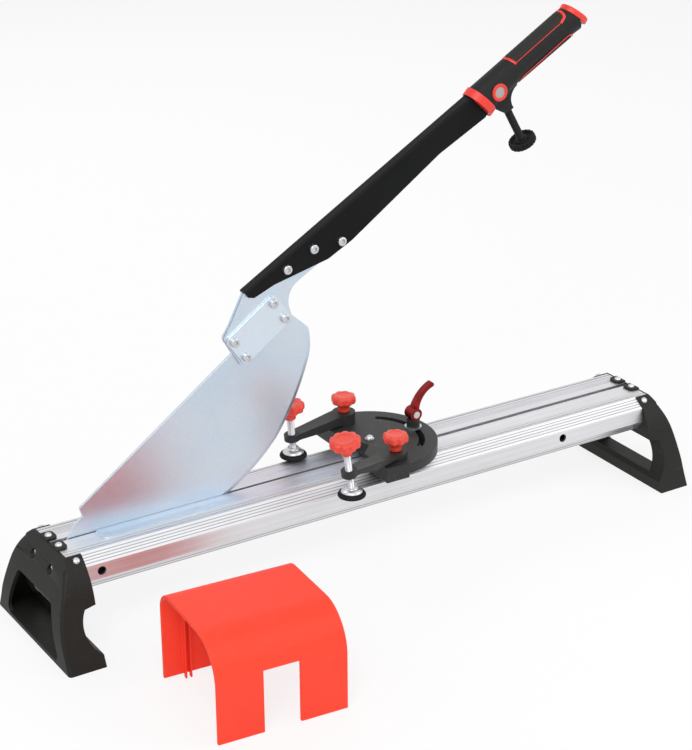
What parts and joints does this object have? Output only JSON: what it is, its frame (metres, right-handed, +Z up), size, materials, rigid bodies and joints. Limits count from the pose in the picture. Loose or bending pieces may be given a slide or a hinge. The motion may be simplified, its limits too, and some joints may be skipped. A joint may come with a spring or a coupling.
{
  "type": "guillotine panel cutter",
  "caption": "Bench guillotine for laminate and vinyl panels: extruded bed on arched feet, curved blade on a long lever, turning angle gauge with screw clamps, loose panel support.",
  "frame": {"origin": "centre of the sole of the foot under the blade's pivot", "axes": "+X along the bench from the pivot foot to the far foot, +Y away from the user, +Z up"},
  "size_m": [0.8, 0.3733, 0.5748],
  "materials": {
    "aluminium_rail": "brushed anodised extrusion",
    "foot_plastic": "fine moulded texture",
    "zinc_steel": "zinc plated, faintly mottled",
    "bright_fastener": "bright zinc",
    "black_paint": "satin paint",
    "grip_plastic": "soft-touch moulding",
    "black_plastic": "moulded",
    "red_plastic": "moulded",
    "black_rubber": "moulded",
    "red_anodised": "anodised",
    "support_plastic": "moulded"
  },
  "bodies": {
    "base": {"rail_front": "aluminium_rail", "rail_rear": "aluminium_rail", "pivot_foot": "foot_plastic", "far_foot": "foot_plastic", "anvil_plate_front": "zinc_steel", "anvil_plate_rear": "zinc_steel", "anvil_screws": "bright_fastener", "foot_tab_screws": "bright_fastener", "foot_side_screws": "bright_fastener", "foot_end_screws": "bright_fastener", "pivot_bolt": "bright_fastener", "pivot_nut": "bright_fastener", "pivot_washers": "bright_fastener", "tie_bolt": "bright_fastener", "tie_nut": "bright_fastener", "tie_bush": "bright_fastener", "gauge_pivot_screw": "bright_fastener", "gauge_washer": "bright_fastener", "gauge_slot_nut": "bright_fastener", "lock_slot_nut": "bright_fastener", "panel_support": "support_plastic"},
    "blade_arm": {"blade": "zinc_steel", "bracket_front": "zinc_steel", "bracket_rear": "zinc_steel", "joint_plate_front": "zinc_steel", "joint_plate_rear": "zinc_steel", "joint_bolts": "bright_fastener", "joint_nuts": "bright_fastener", "arm_channel": "black_paint", "arm_bolts": "bright_fastener", "arm_nuts": "bright_fastener", "arm_spacers": "zinc_steel", "grip": "grip_plastic", "grip_collar": "red_plastic", "grip_end_cap": "red_plastic", "grip_badge": "red_plastic", "stop_post": "black_paint", "stop_disc": "black_rubber"},
    "gauge": {"gauge_plate": "black_plastic", "arm_lock_nuts": "bright_fastener"},
    "lock_stud": {"lock_stud": "bright_fastener", "lock_washer": "bright_fastener", "lock_saddle": "black_plastic", "lock_barrel": "bright_fastener"},
    "lock_lever": {"lock_lever": "red_anodised"},
    "front_clamp_arm": {"front_clamp_arm": "black_plastic"},
    "front_lock_knob": {"front_lock_knob": "red_plastic", "front_lock_stud": "bright_fastener"},
    "front_pad": {"front_pad_rubber": "black_rubber", "front_pad_cup": "bright_fastener"},
    "front_clamp_screw": {"front_clamp_screw": "bright_fastener", "front_clamp_knob": "red_plastic"},
    "rear_clamp_arm": {"rear_clamp_arm": "black_plastic"},
    "rear_lock_knob": {"rear_lock_knob": "red_plastic", "rear_lock_stud": "bright_fastener"},
    "rear_pad": {"rear_pad_rubber": "black_rubber", "rear_pad_cup": "bright_fastener"},
    "rear_clamp_screw": {"rear_clamp_screw": "bright_fastener", "rear_clamp_knob": "red_plastic"}
  },
  "joints": [
    {"name": "blade_swing", "type": "hinge", "parent": "base", "child": "blade_arm", "pos_m": [0.039, 0, 0.086], "axis": [0, 1, 0], "range_deg": [-30, 30.1]},
    {"name": "gauge_turn", "type": "hinge", "parent": "base", "child": "gauge", "pos_m": [0.39, 0, 0.1], "axis": [0, 0, 1], "range_deg": [-35, 45]},
    {"name": "front_arm_swing", "type": "hinge", "parent": "gauge", "child": "front_clamp_arm", "pos_m": [0.39, -0.0524, 0.12], "axis": [0, 0, 1], "range_deg": [-30, 60]},
    {"name": "front_lock_knob_turn", "type": "hinge", "parent": "gauge", "child": "front_lock_knob", "pos_m": [0.39, -0.0524, 0.14], "axis": [0, 0, 1], "range_deg": [0, 360]},
    {"name": "front_pad_lift", "type": "slide", "parent": "front_clamp_arm", "child": "front_pad", "axis": [-0.1633, -0.0591, 0.9848], "range_m": [0, 0.0115]},
    {"name": "front_clamp_screw_turn", "type": "hinge", "parent": "front_pad", "child": "front_clamp_screw", "pos_m": [0.3176, -0.07861, 0.1116], "axis": [-0.1633, -0.0591, 0.9848], "range_deg": [0, 3317]},
    {"name": "rear_arm_swing", "type": "hinge", "parent": "gauge", "child": "rear_clamp_arm", "pos_m": [0.39, 0.054, 0.12], "axis": [0, 0, -1], "range_deg": [-20, 60]},
    {"name": "rear_lock_knob_turn", "type": "hinge", "parent": "gauge", "child": "rear_lock_knob", "pos_m": [0.39, 0.054, 0.14], "axis": [0, 0, 1], "range_deg": [0, 360]},
    {"name": "rear_pad_lift", "type": "slide", "parent": "rear_clamp_arm", "child": "rear_pad", "axis": [-0.0853, -0.0181, 0.9962], "range_m": [0, 0.0075]},
    {"name": "rear_clamp_screw_turn", "type": "hinge", "parent": "rear_pad", "child": "rear_clamp_screw", "pos_m": [0.31468, 0.03799, 0.1116], "axis": [-0.0853, -0.0181, 0.9962], "range_deg": [0, 2165]},
    {"name": "lock_stud_turn", "type": "hinge", "parent": "base", "child": "lock_stud", "pos_m": [0.4475, 0, 0.13], "axis": [0, 0, 1], "range_deg": [0, 360]},
    {"name": "lock_lever_flip", "type": "hinge", "parent": "lock_stud", "child": "lock_lever", "pos_m": [0.4475, 0, 0.141], "axis": [0, 1, 0], "range_deg": [-30, 45]}
  ],
  "couplings": [
    {"joint": "front_clamp_screw_turn", "follows": "front_pad_lift", "rad_per_m": 5026.5},
    {"joint": "rear_clamp_screw_turn", "follows": "rear_pad_lift", "rad_per_m": 5026.5}
  ]
}
